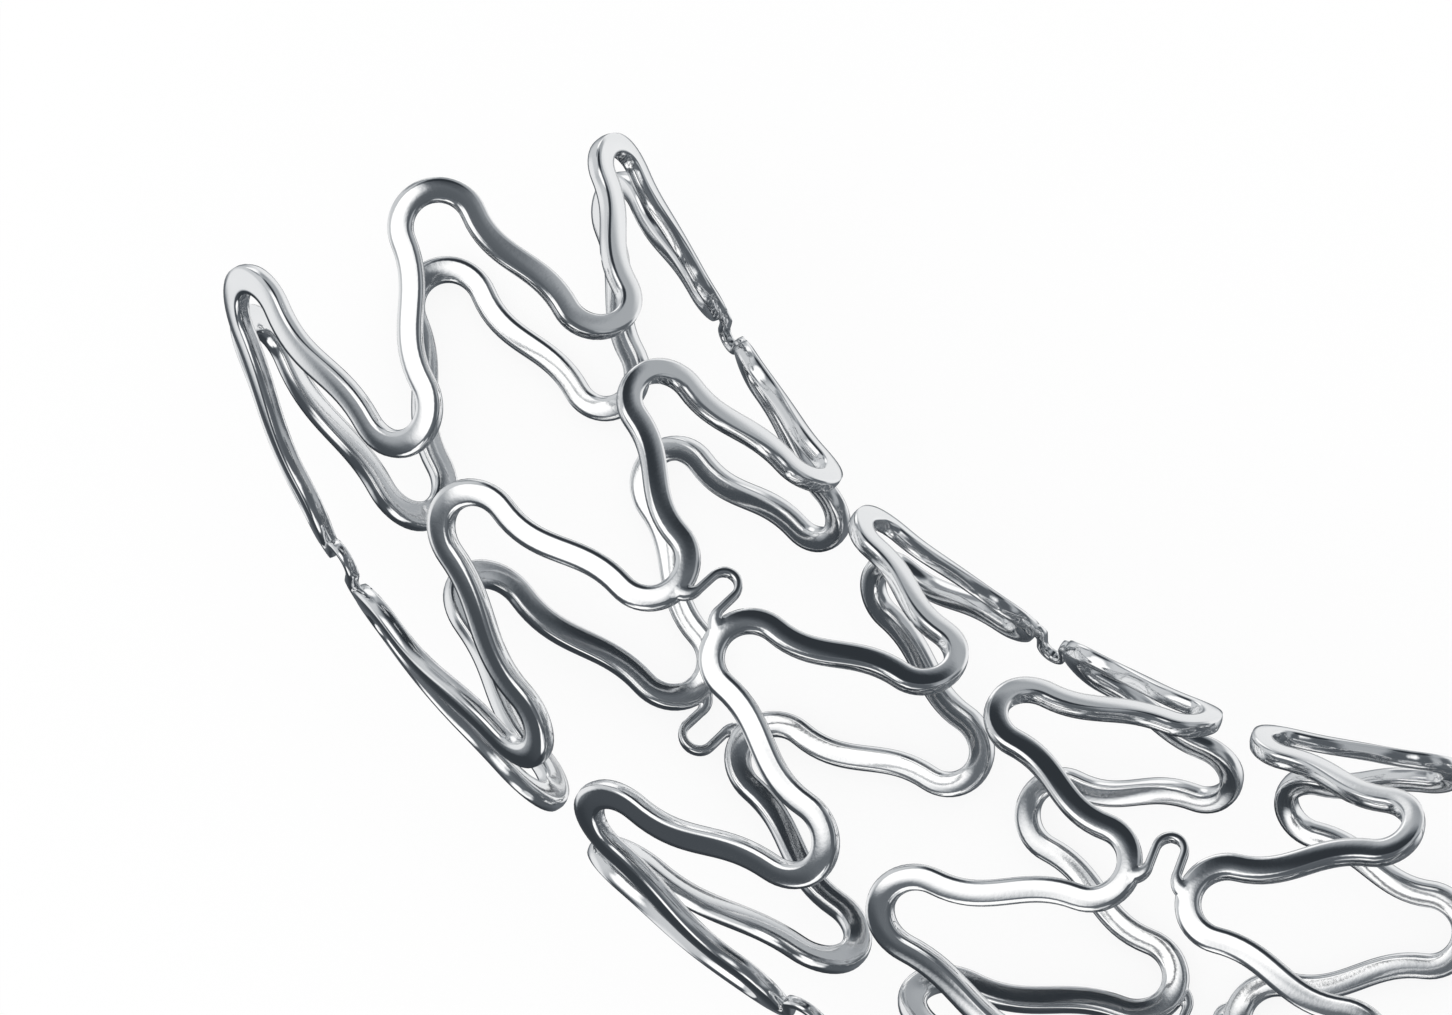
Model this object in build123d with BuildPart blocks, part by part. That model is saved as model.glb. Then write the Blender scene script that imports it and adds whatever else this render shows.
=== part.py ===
from build123d import *
from math import cos, pi, radians, sin, tan
import os

os.makedirs("parts", exist_ok=True)

# The tube the stent is cut from, after it has been opened up and bent. Everything is in millimetres
# and degrees. The pattern turn is where its crowns sit against the inside of the bend.
outer_diameter = 3.5
wall = 0.13
bend_radius = 9.0
pattern_turn = -12.5

# The rings: each is a zig-zag of round crowns joined by slanting legs.
ring_count = 6
crowns_per_side = 6
strut_width = 0.20
crown_radius = 0.29
ring_length = 1.58
leg_slant = 31.0
ring_gap = 0.50

# The links: thin wires folded into one hairpin, two to a gap, a quarter turn round from gap to gap.
link_width = 0.062
link_wall = 0.10
link_root_width = 0.12
link_elbow_radius = 0.08
link_fold_radius = 0.09
link_reach = 0.345

outer_radius = outer_diameter / 2
middle_radius = outer_radius - wall / 2
crown_turn = pi / crowns_per_side
half_step = pi * outer_radius / crowns_per_side
pitch = ring_length + ring_gap
stent_length = ring_count * pitch - ring_gap

# A leg leaves each crown straight along the tube and swings over by what the two crowns leave between
# them. Its handles give the slant halfway, and shifting them keeps the leg's two sides parallel.
leg_swing = half_step - 2 * crown_radius
leg_rise = ring_length - 2 * crown_radius
leg_handle = leg_rise - leg_swing / tan(radians(leg_slant))
side_shift = 2 / 3 * strut_width * tan(radians(leg_slant / 2))

# A crown is flat, so its tip lies as far under the tube's surface as its outer corners stand over it.
crown_dip = (crown_radius + strut_width / 2) ** 2 / outer_radius / 4

# Paths are drawn on the unrolled tube, X round it and Y along it. The half wave of a ring runs from the
# middle of one crown to the middle of the next.
with BuildLine() as half_wave:
    first_crown = JernArc((0, 0), (1, 0), crown_radius, 90)
    leg_start = first_crown @ 1
    leg_end = leg_start + Vector(leg_swing, leg_rise)
    handle = Vector(0, leg_handle)
    Bezier(leg_start, leg_start + handle, leg_end - handle, leg_end)
    JernArc(leg_end, (0, 1), crown_radius, -90)

# A link's hairpin runs from the middle of a crown to the middle of the one that faces it.
root_length = ring_gap / 2 - link_fold_radius - link_elbow_radius
arm = Vector(link_reach - link_elbow_radius - link_fold_radius, 0)
with BuildLine() as hairpin:
    first_root = Line((0, 0), (0, root_length))
    first_elbow = JernArc(first_root @ 1, (0, 1), link_elbow_radius, 90)
    first_arm = Line(first_elbow @ 1, (first_elbow @ 1) - arm)
    fold = JernArc(first_arm @ 1, (-1, 0), link_fold_radius, -180)
    second_arm = Line(fold @ 1, (fold @ 1) + arm)
    second_elbow = JernArc(second_arm @ 1, (1, 0), link_elbow_radius, 90)
    Line(second_elbow @ 1, (second_elbow @ 1) + Vector(0, root_length))


# The plane of the middle of the wall at a flat spot, as its origin and its directions round the tube,
# along it and outward. A start holds an angle, which counts from where the pattern begins, near the
# inside of the bend, over the top, then 1 or -1 for the way round, and a distance along. The tube's
# axis is a level arc that bulges toward -Y.
def touching_plane(flat, start):
    start_angle, way, start_along = start
    round_angle = radians(pattern_turn) + start_angle + way * flat.X / outer_radius
    bend_angle = (start_along + flat.Y - stent_length / 2) / bend_radius
    inward = Vector(-sin(bend_angle), cos(bend_angle), 0)
    along = Vector(cos(bend_angle), sin(bend_angle), 0)
    up = Vector(0, 0, 1)
    outward = inward * cos(round_angle) + up * sin(round_angle)
    sideways = up * cos(round_angle) - inward * sin(round_angle)
    axis_point = Vector(0, bend_radius, outer_radius) - inward * bend_radius
    return axis_point + outward * (middle_radius - crown_dip), sideways * way, along, outward


# A spot beside a path and the way the path heads there. Across is to the path's left.
def beside(path_spot, heading, home, start, out, across):
    origin, sideways, along, outward = touching_plane(home, start)
    step = path_spot - home + Vector(-heading.Y, heading.X) * across
    spot = origin + sideways * step.X + along * step.Y + outward * out
    return spot, sideways * heading.X + along * heading.Y


# One corner line of a bar along one stretch of a path: straight, an arc, or a leg's curve. An arc lies
# flat in the plane at its home, a spot of the path, and what joins arcs runs between their planes.
def rail(stretch, homes, start, out, across, end_across):
    middle_across = (across + end_across) / 2
    first, first_way = beside(stretch @ 0, stretch % 0, homes[0], start, out, across)
    middle, _ = beside(stretch @ 0.5, stretch % 0.5, homes[0], start, out, middle_across)
    last, last_way = beside(stretch @ 1, stretch % 1, homes[1], start, out, end_across)
    if stretch.geom_type == GeomType.LINE:
        return Edge.make_line(first, last)
    if stretch.geom_type == GeomType.CIRCLE:
        return Edge.make_three_point_arc(first, middle, last)
    scale = (last - first).length / (stretch @ 1 - stretch @ 0).length
    shift = side_shift if across > 0 else -side_shift
    first_handle = first + first_way * (leg_handle + shift) * scale
    last_handle = last - last_way * (leg_handle - shift) * scale
    return Edge.make_bezier(first, first_handle, last_handle, last)


# The face between two corner lines: flat where both lie in one plane, else ruled.
def between(first, second, flat):
    if not flat:
        return Face.make_surface_from_curves(first, second)
    rungs = [Edge.make_line(first @ 1, second @ 1), Edge.make_line(second @ 0, first @ 0)]
    return Face(Wire([first, rungs[0], second, rungs[1]]))


# The long sides of a rectangular bar that follows a path, and the two ends when it isn't to be a loop.
def bar(path, homes, start, thickness, width, end_width, closed):
    stretches = path.edges()
    widths = [end_width] + [width] * (len(stretches) - 1) + [end_width]
    faces = []
    for k, stretch in enumerate(stretches):
        before = homes[k] or (homes[k - 1] if k else stretch @ 0)
        after = homes[k] or (homes[k + 1] if k + 1 < len(stretches) else stretch @ 1)
        rails = [
            rail(stretch, (before, after), start, out * thickness / 2, side * widths[k] / 2,
                 side * widths[k + 1] / 2)
            for out, side in [(1, 1), (-1, 1), (-1, -1), (1, -1)]
        ]
        is_arc = homes[k] is not None
        faces += [between(rails[i - 1], rails[i], is_arc and i % 2 == 0) for i in range(4)]
        if not closed and k in (0, len(stretches) - 1):
            corners = [edge @ (1 if k else 0) for edge in rails]
            faces.append(Face(Wire.make_polygon(corners)))
    return faces


# A closed zig-zag ring. Every other half wave runs the other way round, so that crowns meet. A crown's
# home is its own tip, where the next half wave takes over.
def ring(index):
    homes = [Vector(0, 0), None, Vector(half_step, ring_length)]
    faces = []
    for wave in range(2 * crowns_per_side):
        odd = (wave + index + 1) % 2
        start = ((wave + odd) * crown_turn, 1 - 2 * odd, index * pitch)
        faces += bar(half_wave, homes, start, wall, strut_width, strut_width, True)
    return Solid(Shell(faces))


# A link from inside the last crown of one ring to inside the first crown of the next.
def link(gap, round_angle):
    start = (round_angle, 1, gap * pitch + ring_length)
    homes = [s.arc_center if s.geom_type == GeomType.CIRCLE else None for s in hairpin.edges()]
    faces = bar(hairpin, homes, start, link_wall, link_width, link_root_width, False)
    return Solid(Shell(faces))


# Gap by gap the pair of links moves a quarter turn round the tube.
with BuildPart() as stent:
    add([ring(index) for index in range(ring_count)])
    add([
        link(gap, side * pi + gap % 2 * pi / 2)
        for gap in range(ring_count - 1)
        for side in range(2)
    ])

# The finished stent is centred over the origin and lies on the floor.
box = stent.part.bounding_box()
stent.part.move(Location((-box.center().X, -box.center().Y, -box.min.Z)))
stent.part.label = "stent"
export_step(stent.part, "parts/stent.step")
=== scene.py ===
from collections import Counter
from math import atan2, cos, hypot, pi, radians, sin, tan
import bpy
from mathutils import Matrix, Vector


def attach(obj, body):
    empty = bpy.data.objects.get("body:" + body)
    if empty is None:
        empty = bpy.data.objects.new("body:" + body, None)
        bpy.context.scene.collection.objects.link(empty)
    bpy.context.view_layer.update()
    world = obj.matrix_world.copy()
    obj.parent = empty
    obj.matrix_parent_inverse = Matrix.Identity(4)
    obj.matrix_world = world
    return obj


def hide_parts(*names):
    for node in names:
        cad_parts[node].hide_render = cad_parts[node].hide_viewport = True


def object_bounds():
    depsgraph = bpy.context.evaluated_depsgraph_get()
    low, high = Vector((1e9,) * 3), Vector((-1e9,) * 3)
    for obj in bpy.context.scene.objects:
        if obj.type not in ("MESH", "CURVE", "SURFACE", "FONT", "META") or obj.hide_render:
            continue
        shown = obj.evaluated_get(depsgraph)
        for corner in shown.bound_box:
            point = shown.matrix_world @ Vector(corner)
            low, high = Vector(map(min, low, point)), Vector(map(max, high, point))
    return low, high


mm = 0.001
mergeReach = 0.0005 * mm  # points nearer than this are one point

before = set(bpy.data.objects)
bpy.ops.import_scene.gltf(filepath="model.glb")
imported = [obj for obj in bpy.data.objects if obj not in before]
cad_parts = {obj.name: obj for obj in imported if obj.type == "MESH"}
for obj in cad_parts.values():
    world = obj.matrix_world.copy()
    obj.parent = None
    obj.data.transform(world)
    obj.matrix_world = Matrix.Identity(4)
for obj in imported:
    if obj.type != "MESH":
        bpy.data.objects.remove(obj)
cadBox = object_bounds()
print("frame loaded")


# Small helpers for modelling as by hand: everything is deselected first, then one object is worked on.
def workOn(piece):
    bpy.ops.object.select_all(action="DESELECT")
    piece.select_set(True)
    bpy.context.view_layer.objects.active = piece


def applyModifier(piece, kind, **settings):
    workOn(piece)
    modifier = piece.modifiers.new(kind.title(), kind)
    for setting, value in settings.items():
        setattr(modifier, setting, value)
    bpy.ops.object.modifier_apply(modifier=modifier.name)


def applyPlace(piece):
    workOn(piece)
    bpy.ops.object.transform_apply(location=True, rotation=True, scale=True)


def reach(piece, axis):
    along = [vertex.co[axis] for vertex in piece.data.vertices]
    return min(along), max(along)


# The stent's tube and pattern. The pattern is modelled flat: X along the tube, Z round it and Y outwards.
tube = {
    "outerRadius": 1.75 * mm,
    "wall": 0.13 * mm,
    "bendRadius": 9 * mm,
    "rings": 6,
    "crownsPerSide": 6,
    "ringLength": 1.58 * mm,
    "ringGap": 0.50 * mm,
    "patternTurn": radians(-12.5),
}
tube["halfStep"] = pi * tube["outerRadius"] / tube["crownsPerSide"]
tube["pitch"] = tube["ringLength"] + tube["ringGap"]
tube["length"] = tube["rings"] * tube["pitch"] - tube["ringGap"]

strut = {
    "width": 0.20 * mm,
    "crownRadius": 0.29 * mm,
    "legSlant": radians(31),
    "sides": 24,
    "squareness": 0.60,
    "crownSteps": 12,
    "legSteps": 18,
}

wire = {
    "width": 0.056 * mm,
    "thickness": 0.09 * mm,
    "elbowRadius": 0.12 * mm,
    "foldRadius": 0.115 * mm,
    "reach": 0.38 * mm,
    "sides": 16,
    "squareness": 0.60,
    "flare": 3.4,
    "flareFall": 1.2,
    "rootSteps": 2,
    "elbowSteps": 12,
    "armSteps": 4,
    "foldSteps": 18,
}


# A bar's section starts as a circle, is drawn toward a square, and is scaled to its width and thickness. Its
# outer side lies on the tube's outer face.
def makeSection(name, width, thickness, bar, turn):
    bpy.ops.mesh.primitive_circle_add(vertices=bar["sides"], radius=0.5)
    section = bpy.context.active_object
    section.name = name
    applyModifier(section, "CAST", cast_type="CUBOID", factor=bar["squareness"], use_z=False)
    section.scale = (width, thickness, 1)
    section.rotation_euler.y = turn
    section.location.y = -thickness / 2
    applyPlace(section)
    return section


# A section that walks over the flat pattern and leaves a bar behind it. It starts heading along X or Z.
class Walker:
    def __init__(self, section, heading):
        self.piece = section
        self.place = Vector((0, 0, 0))
        self.heading = heading
        workOn(section)
        bpy.ops.object.mode_set(mode="EDIT")
        bpy.ops.mesh.select_all(action="SELECT")

    def direction(self, turned=0):
        return Matrix.Rotation(self.heading + turned, 3, "Y") @ Vector((1, 0, 0))

    def turn(self, radius, angle, steps, widths=None):
        centre = self.place + self.direction(pi / 2 if angle > 0 else -pi / 2) * radius
        spoke = self.place - centre
        heading = self.heading
        if widths:
            for step in range(1, steps + 1):
                turned = angle * step / steps
                place = centre + Matrix.Rotation(turned, 3, "Y") @ spoke
                self.stepTo(place, heading + turned, widths[step] / widths[step - 1])
        else:
            bpy.ops.mesh.spin(steps=steps, angle=-angle, center=centre, axis=(0, 1, 0))
            self.place = centre + Matrix.Rotation(angle, 3, "Y") @ spoke
            self.heading = heading + angle

    def stepTo(self, place, heading, widen=1):
        bpy.ops.mesh.extrude_region_move(TRANSFORM_OT_translate={"value": place - self.place})
        if heading != self.heading:
            bpy.ops.transform.rotate(value=self.heading - heading, orient_axis="Y", center_override=place)
        if widen != 1:
            across = Matrix.Rotation(heading, 3, "Y") @ Vector((0, 0, 1))
            size = [1 + abs(part) * (widen - 1) for part in across]
            bpy.ops.transform.resize(value=size, center_override=place)
        self.place = place
        self.heading = heading

    def go(self, length, steps, widths=None):
        start = self.place.copy()
        for step in range(1, steps + 1):
            widen = widths[step] / widths[step - 1] if widths else 1
            self.stepTo(start + self.direction() * length * step / steps, self.heading, widen)

    def finish(self):
        bpy.ops.object.mode_set(mode="OBJECT")
        return self.piece


# A leg leaves one crown and enters the next along the tube, with a slanting stretch between.
def makeLeg(walker):
    swing = tube["halfStep"] - 2 * strut["crownRadius"]
    rise = tube["ringLength"] - 2 * strut["crownRadius"]
    handle = rise - swing / tan(strut["legSlant"])
    first = walker.place.copy()
    last = first + Vector((rise, 0, swing))
    grips = first, first + Vector((handle, 0, 0)), last - Vector((handle, 0, 0)), last
    for step in range(1, strut["legSteps"] + 1):
        t = step / strut["legSteps"]
        ab, bc, cd = [grips[k].lerp(grips[k + 1], t) for k in range(3)]
        abc, bcd = ab.lerp(bc, t), bc.lerp(cd, t)
        slope = bcd - abc if step < strut["legSteps"] else Vector((1, 0, 0))
        walker.stepTo(abc.lerp(bcd, t), atan2(-slope.z, slope.x))


# Half a wave is walked and mirrored: a quarter crown, a leg and a quarter crown.
def makeWave():
    walker = Walker(makeSection("ring", strut["width"], tube["wall"], strut, 0), -pi / 2)
    walker.turn(strut["crownRadius"], pi / 2, strut["crownSteps"])
    makeLeg(walker)
    walker.turn(strut["crownRadius"], -pi / 2, strut["crownSteps"])
    wave = walker.finish()
    wave.location.z = -tube["halfStep"]
    applyPlace(wave)
    applyModifier(wave, "MIRROR", use_axis=(False, False, True), merge_threshold=mergeReach)
    return wave


# The flat piece is bent round the tube's axis, which becomes the X axis.
def wrapRound(piece):
    low, high = reach(piece, 2)
    applyModifier(piece, "SIMPLE_DEFORM", deform_method="BEND", deform_axis="X",
                  angle=-(high - low) / tube["outerRadius"])
    piece.location.y = tube["outerRadius"]
    applyPlace(piece)


# Doubles are merged, points that only fold a sliver are dissolved, open ends are closed, and every face is
# turned outwards.
def closeUp(piece):
    workOn(piece)
    bpy.ops.object.mode_set(mode="EDIT")
    bpy.ops.mesh.select_all(action="SELECT")
    bpy.ops.mesh.remove_doubles(threshold=mergeReach)
    bpy.ops.mesh.dissolve_degenerate(threshold=mergeReach)
    bpy.ops.mesh.select_all(action="DESELECT")
    bpy.ops.object.mode_set(mode="OBJECT")
    edgesAt = Counter(corner for edge in piece.data.edges for corner in edge.vertices)
    for vertex in piece.data.vertices:
        vertex.select = edgesAt[vertex.index] == 2
    bpy.ops.object.mode_set(mode="EDIT")
    bpy.ops.mesh.dissolve_verts()
    bpy.ops.mesh.select_all(action="SELECT")
    bpy.ops.mesh.fill_holes(sides=0)
    bpy.ops.mesh.select_all(action="SELECT")
    bpy.ops.mesh.normals_make_consistent(inside=False)
    bpy.ops.object.mode_set(mode="OBJECT")


def makeRing():
    ring = makeWave()
    applyModifier(ring, "ARRAY", count=tube["crownsPerSide"],
                  use_relative_offset=False, use_constant_offset=True,
                  constant_offset_displace=(0, 0, 2 * tube["halfStep"]),
                  use_merge_vertices=True, merge_threshold=mergeReach)
    wrapRound(ring)
    closeUp(ring)
    return ring


# A link starts as wide as a strut inside one crown, narrows through its elbow, folds once and comes back.
def makeLink():
    section = makeSection("link", wire["width"] * wire["flare"], wire["thickness"], wire, pi / 2)
    walker = Walker(section, 0)
    rootLength = tube["ringGap"] / 2 - wire["foldRadius"] - wire["elbowRadius"]
    armLength = wire["reach"] - wire["elbowRadius"] - wire["foldRadius"]
    rootSteps, elbowSteps = wire["rootSteps"], wire["elbowSteps"]
    flareSteps = rootSteps + elbowSteps
    flare = []
    for step in range(flareSteps + 1):
        flare.append(1 + (wire["flare"] - 1) * (1 - step / flareSteps) ** wire["flareFall"])
    rootFlare, elbowFlare = flare[:rootSteps + 1], flare[rootSteps:]
    walker.go(rootLength, rootSteps, rootFlare)
    walker.turn(wire["elbowRadius"], pi / 2, elbowSteps, elbowFlare)
    walker.go(armLength, wire["armSteps"])
    walker.turn(wire["foldRadius"], -pi, wire["foldSteps"])
    walker.go(armLength, wire["armSteps"])
    walker.turn(wire["elbowRadius"], pi / 2, elbowSteps, elbowFlare[::-1])
    walker.go(rootLength, rootSteps, rootFlare[::-1])
    link = walker.finish()
    wrapRound(link)
    closeUp(link)
    return link


def copyOf(piece, along, turn):
    workOn(piece)
    bpy.ops.object.duplicate(linked=False)
    copy = bpy.context.active_object
    copy.location.x = along
    copy.rotation_euler.x = turn
    applyPlace(copy)
    return copy


def joined(pieces):
    workOn(pieces[0])
    for piece in pieces:
        piece.select_set(True)
    bpy.ops.object.join()
    return bpy.context.active_object


# Rings and links are set along the straight tube and made one skin, and the whole is then bent.
def makeStent():
    ring = makeRing()
    rings = []
    for index in range(tube["rings"]):
        turn = tube["patternTurn"] + index % 2 * pi / tube["crownsPerSide"]
        rings.append(copyOf(ring, index * tube["pitch"], turn))
    link = makeLink()
    links = []
    for gap in range(tube["rings"] - 1):
        for side in range(2):
            turn = tube["patternTurn"] + side * pi + gap % 2 * pi / 2
            links.append(copyOf(link, gap * tube["pitch"] + tube["ringLength"], turn))
    bpy.data.objects.remove(ring)
    bpy.data.objects.remove(link)
    print(len(rings), "rings and", len(links), "links modelled")
    stent = joined(rings)
    stent.name = "stentMetal"
    allLinks = joined(links)
    applyModifier(stent, "BOOLEAN", operation="UNION", solver="MANIFOLD", object=allLinks)
    bpy.data.objects.remove(allLinks)
    closeUp(stent)
    stent.location.x = -tube["length"] / 2
    applyPlace(stent)
    low, high = reach(stent, 0)
    applyModifier(stent, "SIMPLE_DEFORM", deform_method="BEND", deform_axis="Z",
                  angle=(high - low) / tube["bendRadius"])
    low, high = reach(stent, 1)
    stent.location = (0, -(low + high) / 2, (cadBox[0].z + cadBox[1].z) / 2)
    applyPlace(stent)
    workOn(stent)
    bpy.ops.object.shade_smooth()
    print("stent", len(stent.data.polygons), "faces")
    return stent


stent = makeStent()
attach(stent, "root")
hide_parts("stent")


# Shader maths as Python: a value wraps a socket, and sums on values add the Math nodes.
class Value:
    def __init__(self, tree, socket):
        self.tree = tree
        self.socket = socket

    def maths(self, operation, first, second):
        return self.tree.node("ShaderNodeMath", {"operation": operation}, {0: first, 1: second})

    def __add__(self, other):
        return self.maths("ADD", self, other)

    def __radd__(self, other):
        return self.maths("ADD", other, self)

    def __sub__(self, other):
        return self.maths("SUBTRACT", self, other)

    def __rsub__(self, other):
        return self.maths("SUBTRACT", other, self)

    def __mul__(self, other):
        return self.maths("MULTIPLY", self, other)

    def __rmul__(self, other):
        return self.maths("MULTIPLY", other, self)

    def power(self, exponent):
        return self.maths("POWER", self, exponent)


class Tree:
    def __init__(self, owner):
        owner.use_nodes = True
        self.nodes = owner.node_tree.nodes
        self.links = owner.node_tree.links
        self.nodes.clear()

    def node(self, kind, settings=None, inputs=None, output=0):
        made = self.nodes.new(kind)
        for setting, value in (settings or {}).items():
            setattr(made, setting, value)
        for key, value in (inputs or {}).items():
            if isinstance(value, Value):
                self.links.new(value.socket, made.inputs[key])
            else:
                made.inputs[key].default_value = value
        return Value(self, made.outputs[output]) if len(made.outputs) else made


polish = {
    "colour": (0.82, 0.83, 0.84, 1),
    "roughness": 0.07,
    "unevenness": 0.05,
    "mottleSize": 0.4 * mm,
    "mottleDetail": 3.0,
    "grainSize": 0.03 * mm,
    "grainDetail": 2.0,
    "grainDepth": 0.0003 * mm,
}


# The polish is uneven in soft patches, and a fine grain leaves it satin.
def makePolishedMetal():
    material = bpy.data.materials.new("polishedMetal")
    tree = Tree(material)
    place = tree.node("ShaderNodeTexCoord", output="Object")
    mottle = tree.node("ShaderNodeTexNoise", inputs={
        "Vector": place, "Scale": 1 / polish["mottleSize"], "Detail": polish["mottleDetail"]})
    grain = tree.node("ShaderNodeTexNoise", inputs={
        "Vector": place, "Scale": 1 / polish["grainSize"], "Detail": polish["grainDetail"]})
    satin = tree.node("ShaderNodeBump", inputs={"Distance": polish["grainDepth"], "Height": grain})
    surface = tree.node("ShaderNodeBsdfPrincipled", inputs={
        "Base Color": polish["colour"], "Metallic": 1.0, "Normal": satin,
        "Roughness": polish["roughness"] + mottle * polish["unevenness"]})
    tree.node("ShaderNodeOutputMaterial", inputs={"Surface": surface})
    return material


stent.data.materials.clear()
stent.data.materials.append(makePolishedMetal())
print("metal polished")

# The camera looks steeply down on the stent, as in the photograph, through a long lens. The lens is given in
# the photograph's pixels.
view = {
    "place": Vector((19.812, 4.278, 102.92)) * mm,
    "right": Vector((0.84005, 0.5025, -0.20446)),
    "up": Vector((-0.49777, 0.86381, 0.07785)),
    "sensorWidth": 36,
    "lensPixels": 14000,
    "photoPixels": 1452,
    "clipStart": 1 * mm,
    "clipEnd": 10000 * mm,
}


def makeCamera():
    bpy.ops.object.camera_add()
    camera = bpy.context.active_object
    back = view["right"].cross(view["up"])
    turn = Matrix((view["right"], view["up"], back)).transposed()
    camera.matrix_world = Matrix.Translation(view["place"]) @ turn.to_4x4()
    camera.data.lens = view["sensorWidth"] * view["lensPixels"] / view["photoPixels"]
    camera.data.clip_start = view["clipStart"]
    camera.data.clip_end = view["clipEnd"]
    bpy.context.scene.camera = camera


# The floor and the world are plain white. The floor glows for the camera, and its paint keeps some shadow.
studio = {
    "floorSize": 400 * mm,
    "floorDrop": 0.002 * mm,
    "paint": (0.9, 0.9, 0.9, 1),
    "white": (1, 1, 1, 1),
    "glow": 1.02,
    "glowShare": 0.85,
    "sky": 1.0,
}


def makeFloor():
    bpy.ops.mesh.primitive_plane_add(size=studio["floorSize"], location=(0, 0, -studio["floorDrop"]))
    floor = bpy.context.active_object
    floor.name = "floor"
    material = bpy.data.materials.new("whiteFloor")
    tree = Tree(material)
    seen = tree.node("ShaderNodeLightPath", output="Is Camera Ray")
    mirrored = tree.node("ShaderNodeLightPath", output="Is Glossy Ray")
    seenThrough = tree.node("ShaderNodeLightPath", output="Is Transmission Ray")
    glowing = (seen + mirrored + seenThrough) * studio["glowShare"]
    paint = tree.node("ShaderNodeBsdfDiffuse", inputs={"Color": studio["paint"]})
    glow = tree.node("ShaderNodeEmission", inputs={"Color": studio["white"], "Strength": studio["glow"]})
    surface = tree.node("ShaderNodeMixShader", inputs={0: glowing, 1: paint, 2: glow})
    tree.node("ShaderNodeOutputMaterial", inputs={"Surface": surface})
    floor.data.materials.append(material)
    floor.visible_glossy = False  # the metal mirrors the light tent instead


def makeWorld():
    world = bpy.data.worlds.new("studio")
    bpy.context.scene.world = world
    tree = Tree(world)
    sky = tree.node("ShaderNodeBackground", inputs={"Color": studio["white"], "Strength": studio["sky"]})
    tree.node("ShaderNodeOutputWorld", inputs={"Surface": sky})


# The tent of grey and white panels that only the metal mirrors. Each panel is a soft round spot, in order of
# hanging: degrees to the right and up of the line of sight, its half width in degrees, and its grey.
tent = {
    "radius": 150 * mm,
    "subdivisions": 4,
    "cloth": 0.16,
    "blueness": 0.05,
    "softness": 0.4,
    "panels": [
        (-75, 60, 50, 0.70),
        (-38, 80, 14, 0.30),
        (-28, 106, 14, 1.2),
        (50, 62, 34, 0.46),
        (112, 42, 30, 1.0),
        (62, 118, 26, 0.95),
        (-60, -95, 48, 0.05),
        (-66, -48, 24, 0.08),
        (-108, 0, 24, 0.95),
        (40, -55, 40, 0.11),
        (72, 0, 22, 0.14),
        (43, 5, 18, 0.46),
        (8, 58, 22, 0.04),
        (12, 2, 22, 0.12),
        (-38, 3, 17, 1.3),
        (-20, 20, 14, 1.3),
        (-24, -46, 10, 1.3),
        (-32, -66, 14, 1.3),
        (-12, -66, 12, 1.2),
        (2, -54, 10, 0.7),
    ],
}


def panelDirection(right, up):
    offSight = radians(hypot(right, up))
    side = atan2(up, right)
    sideways = view["right"] * cos(side) + view["up"] * sin(side)
    return view["right"].cross(view["up"]) * cos(offSight) + sideways * sin(offSight)


def makeTent():
    bpy.ops.mesh.primitive_ico_sphere_add(subdivisions=tent["subdivisions"], radius=tent["radius"])
    piece = bpy.context.active_object
    piece.name = "lightTent"
    bpy.ops.object.shade_smooth()
    material = bpy.data.materials.new("lightTent")
    tree = Tree(material)
    place = tree.node("ShaderNodeTexCoord", output="Object")
    direction = tree.node("ShaderNodeVectorMath", {"operation": "NORMALIZE"}, {0: place})
    grey = tent["cloth"]
    for right, up, halfWidth, panelGrey in tent["panels"]:
        toward = tree.node("ShaderNodeVectorMath", {"operation": "DOT_PRODUCT"},
                           {0: direction, 1: panelDirection(right, up)}, output="Value")
        outerEdge = cos(radians(halfWidth * (1 + tent["softness"])))
        innerEdge = cos(radians(halfWidth * (1 - tent["softness"])))
        soft = tree.node("ShaderNodeMapRange", {"interpolation_type": "SMOOTHSTEP"},
                         {"Value": toward, "From Min": outerEdge, "From Max": innerEdge})
        grey = soft * panelGrey + (1 - soft) * grey
    red, blue = grey.power(1 + tent["blueness"]), grey.power(1 - tent["blueness"])
    shade = tree.node("ShaderNodeCombineColor", inputs={"Red": red, "Green": grey, "Blue": blue})
    glow = tree.node("ShaderNodeEmission", inputs={"Color": shade, "Strength": 1.0})
    tree.node("ShaderNodeOutputMaterial", inputs={"Surface": glow})
    piece.data.materials.append(material)
    piece.visible_camera = False
    piece.visible_diffuse = False
    piece.visible_shadow = False
    piece.visible_transmission = False


makeCamera()
makeFloor()
makeWorld()
makeTent()
bpy.context.scene.view_settings.view_transform = "Standard"
print("camera, floor and light tent in place")
